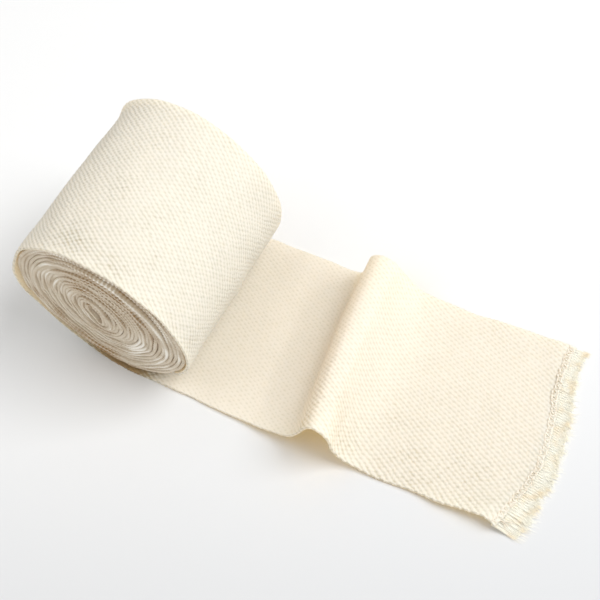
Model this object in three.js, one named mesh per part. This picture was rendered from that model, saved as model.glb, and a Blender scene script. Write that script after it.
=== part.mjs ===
import * as THREE from 'three';

// An elastic bandage: one woven cotton strip wound into a roll. The roll sits on the strip's free end,
// which comes out from under it, lies flat, buckles into one standing fold and ends in a short fringe.
//
// Millimetres, +Z up. +X runs along the loose end, away from the roll, and +Y runs across the strip, from
// its near selvedge to its far one. Before the group is moved, X = 0 is the line where the roll touches
// down, Y = 0 is the near selvedge and Z = 0 is the surface that it all lies on.

const STRIP_WIDTH = 75;
const CLOTH = 1.2; // thickness of one layer, over the tops of its yarns
const GAP = 0.3; // clearance between neighbouring solids

// ---- the wound body ----

const TURN_POINTS = 72; // points in one turn of the outline
const FLAT_DEPTH = 0.4; // how far the roll's own weight presses its round form in where it touches down
const LAYER_STEP = CLOTH + GAP; // the outer layer ends this far inside its own start, on top of the loose end

// A row for each section along the roll's axis. Wound tight, the strip is a little narrower than it is
// where it lies loose, and soft enough that neither end is quite round.
const ROLL_SECTIONS = [
  { y: 1.9, halfWidth: 39.2, halfHeight: 37.8, lean: 0.6 },
  { y: 18.0, halfWidth: 39.0, halfHeight: 38.4, lean: 0.4 },
  { y: 45.0, halfWidth: 38.0, halfHeight: 39.2, lean: 0.2 },
  { y: 71.6, halfWidth: 36.8, halfHeight: 39.9, lean: 0.8 },
];

// The two end faces, a row for each ring of turns: its share of the radius, and how far it stands in.
const NEAR_FACE_RINGS = [
  { share: 0.965, inset: 0.0 },
  { share: 0.95, inset: 1.6 },
  { share: 0.86, inset: 1.4 },
  { share: 0.8, inset: 0.4 },
  { share: 0.4, inset: 0.0 },
  { share: 0.08, inset: 0.3 },
  { share: 0.04, inset: 2.5 },
];
const FAR_FACE_RINGS = [
  { share: 0.965, inset: 0.0 },
  { share: 0.95, inset: 0.9 },
  { share: 0.7, inset: 0.6 },
  { share: 0.3, inset: 0.2 },
  { share: 0.08, inset: 0.4 },
  { share: 0.04, inset: 2.5 },
];
const EYE = { x: -4, z: 34 }; // the small hole that the first turns are wound round

// ---- the loose end ----

const CLEAR_OF_STEP = GAP; // the loose end starts this far from the roll's own outer layer
const ACROSS = 12; // divisions across the strip
const PER_LINE = 3; // divisions between one line of the table and the next
const TURN_START = 73; // past this X the strip lies turned a little towards +Y
const TURN_SLOPE = 0.053;
const END_BOW = 6.3; // how far the strip's end is bowed out past its corners
const BOW_START = 105; // the bow grows from nothing here
const BOW_SKEW = 0.65; // under 1, it is deepest nearer the near selvedge
const BOW_SHARPNESS = 1.5;
const TUCK = 1.8; // how far each selvedge is drawn in under the roll, where the strip is still stretched
const TUCK_LENGTH = 25; // over this length the strip relaxes to its full width
const CREST_SAG = 1.6; // how much lower the fold stands in the middle of the strip than at its selvedges
const CREST_HEIGHT = 21;

// A row for each line across the strip: where it meets the near and the far selvedge, and how far the
// cloth's underside stands off the surface there.
const STRIP_LINES = [
  { nearX: CLEAR_OF_STEP, nearRise: 0.0, farX: CLEAR_OF_STEP, farRise: 0.0 }, // under the roll
  { nearX: 24.0, nearRise: 0.0, farX: 24.0, farRise: 0.0 },
  { nearX: 45.0, nearRise: 0.0, farX: 44.0, farRise: 0.0 },
  { nearX: 56.0, nearRise: 0.5, farX: 54.0, farRise: 0.0 }, // the fold's long foot
  { nearX: 64.0, nearRise: 1.6, farX: 60.0, farRise: 0.0 },
  { nearX: 71.0, nearRise: 3.4, farX: 63.5, farRise: 1.0 },
  { nearX: 77.0, nearRise: 6.6, farX: 66.0, farRise: 5.0 },
  { nearX: 81.5, nearRise: 12.0, farX: 68.5, farRise: 11.5 },
  { nearX: 85.0, nearRise: 17.6, farX: 71.0, farRise: 17.2 },
  { nearX: 89.0, nearRise: 21.0, farX: 75.5, farRise: 20.2 }, // its crest
  { nearX: 93.3, nearRise: 19.4, farX: 80.5, farRise: 19.0 },
  { nearX: 95.2, nearRise: 15.0, farX: 83.8, farRise: 12.6 },
  { nearX: 93.8, nearRise: 10.2, farX: 86.2, farRise: 7.4 }, // a kink in its steep side
  { nearX: 95.2, nearRise: 5.4, farX: 89.2, farRise: 3.6 },
  { nearX: 98.4, nearRise: 1.8, farX: 94.5, farRise: 1.2 },
  { nearX: 105.0, nearRise: 0.2, farX: 102.0, farRise: 0.2 }, // its toe
  { nearX: 118.0, nearRise: 0.0, farX: 115.0, farRise: 0.0 },
  { nearX: 133.0, nearRise: 0.2, farX: 129.0, farRise: 0.0 },
  { nearX: 145.0, nearRise: 1.9, farX: 140.0, farRise: 0.2 }, // the selvedges lift again near the end
  { nearX: 152.5, nearRise: 1.6, farX: 147.5, farRise: 0.9 },
  { nearX: 157.5, nearRise: 0.0, farX: 152.4, farRise: 0.0 }, // the cut end
];
const LIFT_REACH = 0.3; // share of the width over which a lifted selvedge comes back down near the end
const LIFT_START = 118;

// ---- the fringe ----

const FRINGE_THICKNESS = 0.9;
const FRINGE_GAP = 0.55; // measured along the strip: the end slopes, so square to it this is 0.3 or more
const FRINGE_ROOT = 1.0; // the unbroken band that the tufts grow from
const TUFTS = 24;
const TUFT_SHARE = 0.72; // of the pitch, the rest is the space between two tufts
const NEAR_FRINGE = 7.6; // length of the fringe at each selvedge, with its root
const FAR_FRINGE = 3.6;
const TUFT_UNEVENNESS = 0.16;

const COTTON = 0xf4ead6;
const FRAYED_COTTON = 0xf1e6cf;
const CLOTH_ROUGHNESS = 0.95;

function smoothStep(t) {
  const clamped = THREE.MathUtils.clamp(t, 0, 1);
  return clamped * clamped * (3 - 2 * clamped);
}

function clothMaterial(color) {
  return new THREE.MeshStandardMaterial({ color, roughness: CLOTH_ROUGHNESS, metalness: 0 });
}

// The faces of a skin over rings of equally many points, which are listed one ring after another.
function skinFaces(rings) {
  const count = rings[0].length;
  const faces = [];
  for (let ring = 0; ring + 1 < rings.length; ring += 1) {
    for (let i = 0; i < count; i += 1) {
      const here = ring * count + i;
      const beside = ring * count + ((i + 1) % count);
      faces.push(here, beside + count, here + count);
      faces.push(here, beside, beside + count);
    }
  }
  return faces;
}

// A solid over rings of points, each end closed with a fan of faces round its tip.
function roundSolid(rings, firstTip, lastTip) {
  const count = rings[0].length;
  const faces = skinFaces(rings);
  const firstIndex = rings.length * count;
  const lastRing = firstIndex - count;
  for (let i = 0; i < count; i += 1) {
    const next = (i + 1) % count;
    faces.push(firstIndex, next, i);
    faces.push(firstIndex + 1, lastRing + i, lastRing + next);
  }
  return meshGeometry([...rings.flat(), firstTip, lastTip], faces);
}

// A solid over rings that each run along one side of a sheet and back along the other.
function sheetSolid(rings) {
  const count = rings[0].length;
  const faces = skinFaces(rings);
  const lastRing = (rings.length - 1) * count;
  for (let i = 0; i + 1 < count / 2; i += 1) {
    const facing = count - 1 - i;
    faces.push(i, facing - 1, i + 1);
    faces.push(i, facing, facing - 1);
    faces.push(lastRing + i, lastRing + i + 1, lastRing + facing - 1);
    faces.push(lastRing + i, lastRing + facing - 1, lastRing + facing);
  }
  return meshGeometry(rings.flat(), faces);
}

function meshGeometry(points, faces) {
  const geometry = new THREE.BufferGeometry().setFromPoints(points);
  geometry.setIndex(faces);
  geometry.computeVertexNormals();
  return geometry;
}

// One turn of the outline, from where it touches down, up the side away from the loose end, over the top
// and down again to a layer's thickness above its start.
function turnOutline(section) {
  const height = section.halfHeight - FLAT_DEPTH;
  const outline = [];
  for (let i = 0; i <= TURN_POINTS; i += 1) {
    const turned = i / TURN_POINTS;
    const angle = turned * 2 * Math.PI;
    const halfWidth = section.halfWidth - LAYER_STEP * turned;
    const halfHeight = section.halfHeight - LAYER_STEP * turned;
    const lean = section.lean * (1 - Math.cos(angle)) / 2;
    const x = lean - halfWidth * Math.sin(angle);
    const z = height - halfHeight * Math.cos(angle);
    const rest = turned < 0.5 ? 0 : LAYER_STEP;
    outline.push(new THREE.Vector3(x, section.y, Math.max(z, rest)));
  }
  return outline;
}

function faceRing(outline, ring, inward) {
  const eye = new THREE.Vector3(EYE.x, outline[0].y, EYE.z);
  return outline.map((point) => {
    const inner = eye.clone().lerp(point, ring.share);
    inner.y += inward * ring.inset;
    return inner;
  });
}

function makeRoll() {
  const sides = ROLL_SECTIONS.map(turnOutline);
  const nearSide = sides[0];
  const farSide = sides[sides.length - 1];
  const nearRings = NEAR_FACE_RINGS.map((ring) => faceRing(nearSide, ring, 1)).reverse();
  const farRings = FAR_FACE_RINGS.map((ring) => faceRing(farSide, ring, -1));
  const nearEye = NEAR_FACE_RINGS[NEAR_FACE_RINGS.length - 1].inset;
  const farEye = FAR_FACE_RINGS[FAR_FACE_RINGS.length - 1].inset;
  const geometry = roundSolid(
    [...nearRings, ...sides, ...farRings],
    new THREE.Vector3(EYE.x, nearSide[0].y + nearEye, EYE.z),
    new THREE.Vector3(EYE.x, farSide[0].y - farEye, EYE.z),
  );
  const roll = new THREE.Mesh(geometry, clothMaterial(COTTON));
  roll.name = 'roll';
  return roll;
}

// The line along the strip at a share of its width, 0 at the near selvedge and 1 at the far one.
function lineAlong(across) {
  const knots = STRIP_LINES.map((line) => {
    const x = THREE.MathUtils.lerp(line.nearX, line.farX, across);
    const rise = THREE.MathUtils.lerp(line.nearRise, line.farRise, across);
    return new THREE.Vector3(x, 0, rise);
  });
  const curve = new THREE.CatmullRomCurve3(knots, false, 'centripetal');
  const steps = (STRIP_LINES.length - 1) * PER_LINE;
  const points = [];
  for (let i = 0; i <= steps; i += 1) {
    points.push(placeOnStrip(curve.getPoint(i / steps), across));
  }
  return points;
}

// Moves a point of the straight strip to its place on the bowed, turned and relaxed one.
function placeOnStrip(point, across) {
  const bowed = Math.sin(Math.PI * across ** BOW_SKEW) ** BOW_SHARPNESS;
  const towardsEnd = smoothStep((point.x - BOW_START) / (STRIP_LINES.at(-1).nearX - BOW_START));
  const x = point.x + END_BOW * bowed * towardsEnd;
  const stretched = 1 - smoothStep(point.x / TUCK_LENGTH);
  const y = across * STRIP_WIDTH + TUCK * stretched * (1 - 2 * across);
  const turn = TURN_SLOPE * Math.max(0, point.x - TURN_START);
  return new THREE.Vector3(x, y + turn, sagged(point, across) + CLOTH / 2);
}

// The underside's height at a point: the fold sags between the selvedges, and past it only the selvedges lift.
function sagged(point, across) {
  const inMiddle = Math.sin(Math.PI * across);
  const fromSelvedge = Math.min(across, 1 - across) / LIFT_REACH;
  const lifted = point.x > LIFT_START ? 1 - smoothStep(fromSelvedge) : 1;
  const sag = CREST_SAG * inMiddle * smoothStep(point.z / CREST_HEIGHT);
  return Math.max(0, point.z * lifted - sag);
}

function stripSurface() {
  const lines = [];
  for (let j = 0; j <= ACROSS; j += 1) {
    lines.push(lineAlong(j / ACROSS));
  }
  return lines;
}

// The cloth's normal at a grid point, from its neighbours along and across.
function surfaceNormal(lines, i, j) {
  const last = lines[0].length - 1;
  const along = lines[j][Math.min(i + 1, last)].clone().sub(lines[j][Math.max(i - 1, 0)]);
  const across = lines[Math.min(j + 1, ACROSS)][i].clone().sub(lines[Math.max(j - 1, 0)][i]);
  return along.cross(across).normalize();
}

function makeLooseEnd(lines) {
  const rings = [];
  for (let i = 0; i < lines[0].length; i += 1) {
    const top = [];
    const underside = [];
    for (let j = 0; j <= ACROSS; j += 1) {
      const normal = surfaceNormal(lines, i, j).multiplyScalar(CLOTH / 2);
      top.push(lines[j][i].clone().add(normal));
      underside.push(lines[j][i].clone().sub(normal));
    }
    rings.push([...underside, ...top.reverse()]);
  }
  const looseEnd = new THREE.Mesh(sheetSolid(rings), clothMaterial(COTTON));
  looseEnd.name = 'loose_end';
  return looseEnd;
}

// How far a tuft reaches past the cut end; each is a little longer or shorter than its neighbours.
function tuftLength(across, index) {
  const even = THREE.MathUtils.lerp(NEAR_FRINGE, FAR_FRINGE, across);
  return even * (1 + TUFT_UNEVENNESS * Math.sin(index * 2.4) * Math.cos(index * 1.1));
}

function makeFrayedEnd(lines) {
  const cutEnd = lines.map((line) => line[line.length - 1]);
  const edge = new THREE.CatmullRomCurve3(cutEnd);
  const outline = cutEnd.map((point) => new THREE.Vector2(point.x + FRINGE_GAP, point.y));
  for (let index = TUFTS - 1; index >= 0; index -= 1) {
    const length = tuftLength(index / TUFTS, index);
    const from = edge.getPoint((index + 1 - (1 - TUFT_SHARE) / 2) / TUFTS);
    const to = edge.getPoint((index + (1 - TUFT_SHARE) / 2) / TUFTS);
    outline.push(new THREE.Vector2(from.x + FRINGE_GAP + FRINGE_ROOT, from.y));
    outline.push(new THREE.Vector2(from.x + FRINGE_GAP + length, from.y));
    outline.push(new THREE.Vector2(to.x + FRINGE_GAP + length, to.y));
    outline.push(new THREE.Vector2(to.x + FRINGE_GAP + FRINGE_ROOT, to.y));
  }
  const shape = new THREE.Shape(outline);
  const geometry = new THREE.ExtrudeGeometry(shape, { depth: FRINGE_THICKNESS, bevelEnabled: false });
  const frayedEnd = new THREE.Mesh(geometry, clothMaterial(FRAYED_COTTON));
  frayedEnd.name = 'frayed_end';
  return frayedEnd;
}

// The origin ends up in the middle of the footprint, on the surface that the bandage lies on.
function centreFootprint(group) {
  const box = new THREE.Box3().setFromObject(group);
  const middle = box.getCenter(new THREE.Vector3());
  group.position.set(-middle.x, -middle.y, -box.min.z);
}

const strip = stripSurface();
const bandage = new THREE.Group();
bandage.add(makeRoll(), makeLooseEnd(strip), makeFrayedEnd(strip));
centreFootprint(bandage);

export default bandage;
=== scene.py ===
import math
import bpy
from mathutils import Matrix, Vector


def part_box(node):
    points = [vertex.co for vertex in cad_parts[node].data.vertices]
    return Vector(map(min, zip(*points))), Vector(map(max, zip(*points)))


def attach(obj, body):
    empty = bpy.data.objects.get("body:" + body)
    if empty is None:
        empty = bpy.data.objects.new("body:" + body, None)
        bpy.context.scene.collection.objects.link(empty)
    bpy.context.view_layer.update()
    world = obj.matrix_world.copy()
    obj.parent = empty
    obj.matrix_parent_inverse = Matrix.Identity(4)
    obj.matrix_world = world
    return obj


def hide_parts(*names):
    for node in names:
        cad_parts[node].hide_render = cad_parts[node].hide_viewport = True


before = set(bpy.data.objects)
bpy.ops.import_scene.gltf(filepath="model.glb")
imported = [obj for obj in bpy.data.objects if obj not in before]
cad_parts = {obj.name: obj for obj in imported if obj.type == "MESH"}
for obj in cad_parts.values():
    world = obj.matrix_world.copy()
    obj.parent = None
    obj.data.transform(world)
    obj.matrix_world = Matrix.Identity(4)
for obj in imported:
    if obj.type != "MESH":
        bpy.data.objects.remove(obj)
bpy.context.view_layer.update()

from types import SimpleNamespace

import bmesh
import bpy
import numpy as np
from mathutils import Matrix, Vector

# An elastic bandage: one strip of cotton crepe, wound into a roll. Its free end comes out from under the
# roll, lies flat, buckles into one standing fold and ends in an overlocked, frayed cut.
#
# Shapes are worked out in millimetres on the strip's own axes: X = 0 where the roll touches down and
# growing along the loose end, Y = 0 at the near selvedge and growing to the far one, Z = 0 on the
# surface.

MM = 0.001
START_GAP = 0.3  # the loose end starts this far from the roll's own outer layer
loose_low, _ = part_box("loose_end")
TOUCH_DOWN_X = loose_low.x / MM - START_GAP
NEAR_SELVEDGE_Y = loose_low.y / MM

STRIP_WIDTH = 75.0
CLOTH = 1.2  # one layer, over the tops of its yarns
LAYER_STEP = 1.5  # from one turn of the roll to the next, where it is wound loosest
WALL = 0.95  # the layer between the hollows of its weave
RELIEF = 0.15  # how far the yarns' crowns stand above the middle of the weave, and the hollows below it
STAND_OFF = 0.05  # from the surface that it lies on to the cloth, and the least that this may be:
LEAST_CLEAR = 0.02

# ---- the weave: crowns of the warp yarns in rows along the strip, each set on from the one beside it ----

YARN_ROWS = 79  # warp rows across the strip
ROW_PITCH = STRIP_WIDTH / YARN_ROWS
CROWN_PITCH = 3.26  # from one crown to the next along a row
LOOP_PITCH = CROWN_PITCH / 2  # from one weft's loop to the next along a selvedge
LOOP_OUT = 0.16  # how far those loops stand out
LOOP_REACH = 1.6  # and how far in from the selvedge they still show
WEFT_SLOPE = -0.242  # the wefts lie this far off square
# Crowns line up in ribs both ways: ribs per mm along and across. Wound up they cross square; lying loose
# the weave has sheared.
LOOSE_RIBS = ((0.3067, 0.6006), (0.3067, -0.4520))
WOUND_RIBS = ((0.3067, 0.5267), (0.3067, -0.5267))
RIB_WIDTH = 1 / math.hypot(*WOUND_RIBS[0])
# The yarns' twist leans the crowns one way, so that one set of ribs stands out.
STEEP_RELIEF = 0.60
SHALLOW_RELIEF = 0.26
CROSSED_RELIEF = 0.14

# Unevenness of the cloth, as (how much, how many millimetres across a patch of it is):
RIB_WANDER = ((0.35, 22), (0.20, 5))  # millimetres along the strip
ROW_WANDER = 0.30  # and this much more for each warp row on its own
RELIEF_CHANGES = ((0.15, 6), (0.30, 2.2))  # shares of the relief
OPEN_CHANGES = ((0.12, 15), (0.16, 2.6))  # how open the weave stands

# ---- the loose end ----

# For each line across the strip: where it meets the near selvedge and how far the cloth's underside
# stands off the surface there, and the same at the far selvedge.
STRIP_LINES = (
    (0.3, 0.0, 0.3, 0.0),
    (24.0, 0.0, 24.0, 0.0),
    (45.0, 0.0, 44.0, 0.0),
    (56.0, 0.5, 54.0, 0.0),
    (64.0, 1.6, 60.0, 0.0),
    (71.0, 3.4, 63.5, 1.0),
    (77.0, 6.6, 66.0, 5.0),
    (81.5, 12.0, 68.5, 11.5),
    (85.0, 17.6, 71.0, 17.2),
    (89.0, 21.0, 75.5, 20.2),  # the fold's crest
    (93.3, 19.4, 80.5, 19.0),
    (94.9, 14.8, 83.8, 12.6),
    (94.8, 10.1, 86.4, 7.6),
    (96.4, 5.9, 89.6, 4.2),
    (99.8, 2.5, 95.0, 1.9),
    (106.5, 0.5, 103.0, 0.5),
    (118.0, 0.0, 115.0, 0.0),
    (133.0, 1.1, 129.0, 0.0),
    (145.0, 2.7, 140.0, 0.2),
    (152.0, 4.1, 147.0, 0.9),
    (156.2, 3.0, 151.1, 0.3),
    (157.5, 1.6, 152.4, 0.0),  # the cut end
)
LINE_STEPS = 30  # fine steps from one of these lines to the next
TURN_START = 73.0  # from here on the strip runs off sideways
TURN_SLOPE = 0.053
END_BOW = 6.3  # the cut bows out between its corners
BOW_START = 105.0
BOW_SKEW = 0.65
BOW_SHARPNESS = 1.5
NEAR_TUCK = -0.6  # how far the selvedges draw in by the roll; below zero, out to meet its rim
FAR_TUCK = 3.4
TUCK_LENGTH = 25.0
CREST_SAG = 1.6
CREST_HEIGHT = 21.0
CREST_NEAR_X = 89.0
CREST_SKEW = 13.5
CREST_LEAN = 2.0  # between the selvedges the crest leans back towards the roll
LEANING_PART = (6, 10)  # from this height up, and in full after this much more
FOOT_SPREAD = 1.6  # and the fold's far foot spreads out
FOOT_HEIGHT = 16.0
RAMP_RISE = 0.9  # and the cloth slopes up to the fold
LIFT_START = 118.0  # past here only the selvedges lift
LIFT_REACH = 0.3
END_FLARE = 1.2  # the near corner of the cut turns out
FLARE_STRETCH = (152, 6)
FLARE_SHARPNESS = 6
# Stretches along it, from the crest: where each starts, how soon it is whole, where it begins to end, and
# how soon it is gone.
RAMP_STRETCH = (-32, 13, -18, 9)
FOOT_STRETCH = (0, 3, 9, 14)
FLAT_UNEVEN = 0.22  # the flat cloth is this uneven, up and down and sideways
FREE_LENGTH = 40  # in full once this far from the roll
SQUARE_SHARE = 0.2  # lines across it are square at both ends, and slant as the wefts do past this share

# How boldly the weave shows: next to nothing where the strip is pressed flat by the roll, in full past
# the fold, less towards the far selvedge, and again on the near half of the fold's crest.
FLAT_COARSE = 0.15
LOOSE_COARSE = 0.98
FAR_LOSS = 0.50
CREST_COARSE = 0.55
PAST_FOLD = (70, 35)
CREST_PLACE = (86, 8)
NEAR_PART = 45
# Painted shade in the crevice under the roll, and where along the strip it lies.
CREVICE_PAINTED_SHADE = 3.1
CREVICE_PLACE = (0, 13)

# Along the cut, by share of the width: how far the frayed warp reaches past it, and how far inside it the
# overlocking runs. The wefts stop just past that.
FRAYED_AT = (0.0, 0.05, 0.13, 0.2, 0.3, 0.42, 0.5, 0.6, 0.67, 0.75, 0.84, 0.93, 1.0)
FRAYED_REACH = (8.4, 8.0, 6.4, 5.6, 5.6, 4.8, 5.2, 4.9, 4.6, 3.8, 3.6, 3.1, 4.2)
STITCHED_AT = (0.0, 0.04, 0.12, 0.27, 0.35, 0.5, 0.6, 0.67, 0.75, 0.85, 0.95, 1.0)
STITCHED_INSIDE = (1.7, 1.9, 2.8, 2.6, 1.7, 2.0, 2.1, 2.9, 3.2, 2.8, 2.2, 2.0)
PAST_STITCHES = 1.1
WEFT_RAGGED = 0.15

# ---- the roll ----

FLAT_DEPTH = 0.4  # its weight flattens it this much along the touch-down line
SECTION_Y = (1.9, 18.0, 45.0, 71.6)  # and at each of these, from rim to rim:
HALF_WIDTHS = (39.2, 39.0, 38.0, 36.8)
HALF_HEIGHTS = (37.8, 38.4, 39.2, 39.9)
LEANS = (0.6, 0.4, 0.2, 0.8)
NEAR_RIM_Y = SECTION_Y[0]
FAR_RIM_Y = SECTION_Y[-1]
MIDDLE_Y = 30.0
MEAN_RADIUS = 38.3
EYE_X = -4.9
EYE_Z = 33.6
TURNS = 24.4  # from the touch-down in to the eye
EYE_HALF_WIDTH = 0.55
EYE_HALF_HEIGHT = 5.0
EYE_TILT = math.radians(13)  # the first turns were wound flat, and stand nearly upright in the roll
LEAST_STEP = 1.12  # from one turn to the next where the roll's weight rests on them

# The outermost turn, with places round it in shares of a turn (see below).
EDGE_SLID = 1.1  # its near edge slid out past the rim
EDGE_SLID_MORE = 0.9
EDGE_SLID_AT_START = 1.4
EDGE_TUCKED = 2.6  # and is tucked in where it comes round to the bottom
DENT = 0.25  # it is a little slack here
DENT_ROUND = (0.51, 0.075)
DENT_Y = (8.5, 4.5)
FAR_FLARE = 1.3  # and its far edge stands up here
FLARE_ROUND = (0.36, 0.035)
FLARE_WIDTH = 2.6

# Places round a turn are shares of it from the bottom: seen from the near end, 0.25 is its left, 0.5 its
# top and 0.75 its right. Each stretch is where it starts, how soon it is whole, where it begins to end,
# and how soon it is gone. A pair is a hump's middle and width, or a change's start and length.
OUTER_BAND = (0.27, 0.16, 0.74, 0.22)  # the outermost inner turns lie a little apart
LYING_BACK = (0.29, 0.16, 0.62, 0.16)  # and their selvedges lie back from the rim
SLID_OUT = (0.0, 0.08, 0.18, 0.26)
UPPER_RIGHT = (0.40, 0.12, 0.78, 0.14)
LOWER_LEFT = (-0.02, 0.05, 0.14, 0.10)
LOWER_RIGHT = (0.72, 0.08, 0.95, 0.05)
BAND_TURNS = 5.6  # how many turns from the touch-down that outer band takes in
SPECKLED_TURNS = (6, 1.5, 17, 3)  # turns with painted shade speckled between their wefts' loops, as a stretch
BAND_INSET = 0.3  # where the band's turns don't lie back
SLID_BY = 0.9
TUCKED_UNDER = 2.3  # the strip's way in from under the outer turn
TUCKED_TURNS = (1.03, 0.10)
PUSHED_OUT = 1.7  # how far the roll's weight pushes the outer turns past the near face, at its bottom
PUSHED_AT = (-0.005, 0.07)
PUSHED_TURNS = (5, 10)
EACH_TURN_INSET = 0.10

# How far in from the near rim the edge of each turn lies: turns from the touch-down, and millimetres.
NEAR_INSETS = (
    (1.0, 0.9), (1.3, 1.0), (2.4, 1.1), (3.4, 1.3), (5.3, 1.4), (5.6, -0.4), (6.3, -0.4), (6.6, 0.3),
    (7.4, 0.3), (8.4, 0.6), (9.6, 0.3), (11.0, 0.7), (12.6, 0.4), (14.0, 0.8), (16.0, 0.4), (17.3, -0.25),
    (18.2, -0.2), (18.5, 0.5), (19.8, 0.6), (21.0, -0.3), (21.8, -0.25), (22.1, 0.5), (23.5, 0.3),
    (23.9, 1.6), (24.4, 2.4),
)
FAR_INSETS = ((1.0, 0.9), (3.0, 0.7), (7.0, 0.9), (10.0, 0.3), (15.0, 0.6), (20.0, 0.2), (24.4, 1.0))

# Round one turn's cut section: millimetres in from the selvedge, share of half its thickness towards the
# outside, and 0 for the near selvedge or 1 for the far one.
TURN_SECTION = (
    (0.0, 0.0, 0.0), (0.02, 0.80, 0.0), (0.12, 1.0, 0.0), (1.3, 1.0, 0.0), (4.0, 1.0, 0.0),
    (0.12, 1.0, 1.0), (0.02, 0.80, 1.0), (0.0, 0.0, 1.0), (0.02, -0.80, 1.0), (0.12, -1.0, 1.0),
    (0.12, -1.0, 0.0), (0.02, -0.80, 0.0), (0.0, 0.0, 0.0),
)
THINNEST = 1.0  # a turn's room, from the tight lower turns to the slack ones
THICKEST = 1.9

# How brown the turns are, mostly painted shade: 0 is a plain pale selvedge, 1 the painted shade between
# turns, and below 0 is whiter, a painted highlight.
PLAIN_TONE = 0.16
# Painted shade speckled in the gaps of the upper right turns.
SPECKLED_PAINTED_SHADE = 0.26
# Painted shade in the eye's hollow, over its innermost turns.
EYE_PAINTED_SHADE = 0.80
EYE_TURNS = (23.4, 0.6)
EACH_TURN_TONE = 0.12
# Painted shade on the lower left of the faces, seen from the near end, on the outer turns.
LOWER_LEFT_PAINTED_SHADE = 0.44
LOWER_LEFT_TURNS = (4, 8)  # gone over these
# Painted light: the lower right of the faces paler.
LOWER_RIGHT_PAINTED_LIGHT = -0.22
BELOW_EYE_TONE = 0.22
BELOW_EYE = (0.02, 0.10)
BELOW_EYE_TURNS = (15, 3)
UNDERSIDE_PAINTED_SHADE = 0.45  # painted shade on the outer turns where they meet the loose end
UNDERSIDE = (-0.01, 0.10)
UNDERSIDE_TURNS = (1.5, 3.5)
CREST_PAINTED_HIGHLIGHT = -0.24  # painted highlight on the very edge of a turn
# Painted shade on the rest of a turn's section.
OFF_CREST_PAINTED_SHADE = 0.10
PROUD_PAINTED_HIGHLIGHT = -0.35  # painted highlight where a turn stands out past the others
PATCHY_TONE = 0.13
ALONG_TONE = 0.12
BAND_BEAD_PAINTED_SHADE = (-0.08, 0.50)  # painted shade on the band's turns, which lie back: on the whole and from loop to loop
BAND_SHADE = 0.20  # between the band's turns
INNER_SHADE = 0.42  # between the other turns, and more where they are speckled
SPECKLED_SHADE = 0.30

# ---- threads ----

PLY_TWIST = 4.4  # along a warp yarn, for its plies to go once round each other
PLY_RADIUS = 0.27
SLACK_RADIUS = 0.30
SLACK_BESIDE = 0.26  # a slack ply lies this far beside the middle of its yarn
WISP_RADIUS = 0.06
WISPS = 13  # single fibres that stand out of each frayed yarn
RUN_BACK = 1.5  # a frayed yarn starts this far back, inside the cloth
STITCH_PITCH = 2.1
STITCH_HALF_WIDTH = 0.85
STITCH_STEPS = 8  # points for each stitch
NEEDLE_RADII = (0.22, 0.30)
LOOPER_RADIUS = 0.21
THREAD_ENDS = 6  # left at the near corner
THREAD_END_RADIUS = 0.15
THREAD_END_LENGTHS = (3.5, 6.0)


def linear_colour(hex_value):
    """An sRGB colour written as hex, as the linear RGBA that a socket takes."""
    channels = [(hex_value >> shift & 255) / 255 for shift in (16, 8, 0)]
    linear = [c / 12.92 if c <= 0.04045 else ((c + 0.055) / 1.055) ** 2.4 for c in channels]
    return (*linear, 1.0)


def smooth(t):
    t = np.clip(t, 0.0, 1.0)
    return t * t * (3 - 2 * t)


def rising(value, start, over):
    return smooth((value - start) / over)


def fading(value, start, over):
    return 1 - smooth((value - start) / over)


def stretch(value, start, rise, end, fall):
    """1 from start to end and 0 well outside them, rising over the length rise and going down over fall."""
    return rising(value, start, rise) * fading(value, end, fall)


def hump(value, middle, width):
    """1 at the middle, and down to a third at width from it."""
    return np.exp(-(((value - middle) / width) ** 2))


def ripple(seed, x, y, size, waves=14):
    """Gentle unevenness over x and y with humps about size across, mostly between -1 and 1."""
    draw = np.random.default_rng(seed)
    total = 0.0
    for _ in range(waves):
        heading = draw.uniform(0, 2 * math.pi)
        pace = 2 * math.pi / size * draw.uniform(0.5, 1.3)
        phase = draw.uniform(0, 2 * math.pi)
        total = total + np.cos(pace * (x * math.cos(heading) + y * math.sin(heading)) + phase)
    return total / math.sqrt(waves)


def ripples(seeds, changes, x, y):
    """Unevenness of several sizes added up: changes gives how much of each, and its size."""
    return sum(much * ripple(seed, x, y, size) for seed, (much, size) in zip(seeds, changes))


def ripple_across(seed, share, size, beside=0.0):
    """Unevenness by share of the strip's width."""
    return ripple(seed, share * STRIP_WIDTH, beside + 0 * share, size)


def one_by_one(seed, count, place):
    """A steady random value for each of count rows or turns, mostly between -1 and 1."""
    values = np.random.default_rng(seed).normal(0, 0.6, count)
    return np.interp(place, np.arange(count), values)


# ---- meshes ----


def finished_piece(name, mesh, material):
    mesh.materials.clear()
    mesh.materials.append(material)
    mesh.shade_smooth()
    piece = bpy.data.objects.new(name, mesh)
    bpy.context.scene.collection.objects.link(piece)
    return piece


def to_row(points):
    """Millimetres on the strip's axes, as metres in the row's frame."""
    return (points + np.array((TOUCH_DOWN_X, NEAR_SELVEDGE_Y, 0.0))) * MM


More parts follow.
